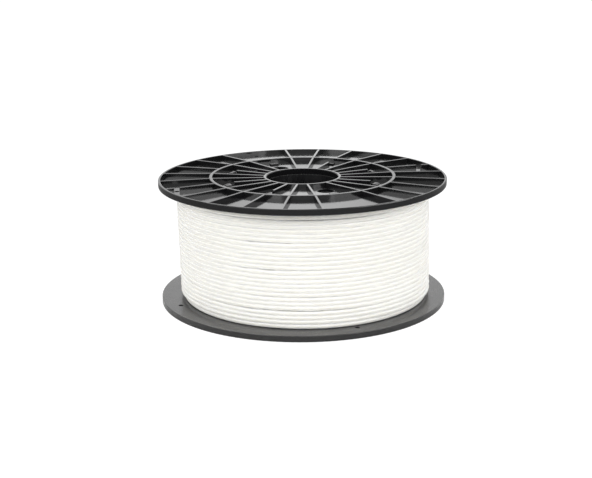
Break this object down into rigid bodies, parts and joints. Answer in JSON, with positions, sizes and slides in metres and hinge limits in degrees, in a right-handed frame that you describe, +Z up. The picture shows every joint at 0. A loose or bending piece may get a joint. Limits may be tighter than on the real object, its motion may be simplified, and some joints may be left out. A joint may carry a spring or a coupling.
{
  "type": "filament spool",
  "caption": "Round two-flange spool with ribbed outer faces, a central bore and wound filament, used to store and feed 3D printer filament.",
  "frame": {"origin": "centre of the surface that the spool stands on, under the lower flange's stacking ring", "axes": "+Z up along the spool's axis; +X to the right as seen from the front"},
  "size_m": [0.2, 0.2, 0.0884],
  "materials": {
    "flange_plastic": "moulded, glossy, black",
    "core_plastic": "moulded, satin, black",
    "filament_plastic": "extruded strand, smooth, white"
  },
  "bodies": {
    "root": {"upper_flange": "flange_plastic", "lower_flange": "flange_plastic", "drum": "core_plastic", "bore_tube": "core_plastic", "filament": "filament_plastic"}
  },
  "joints": []
}
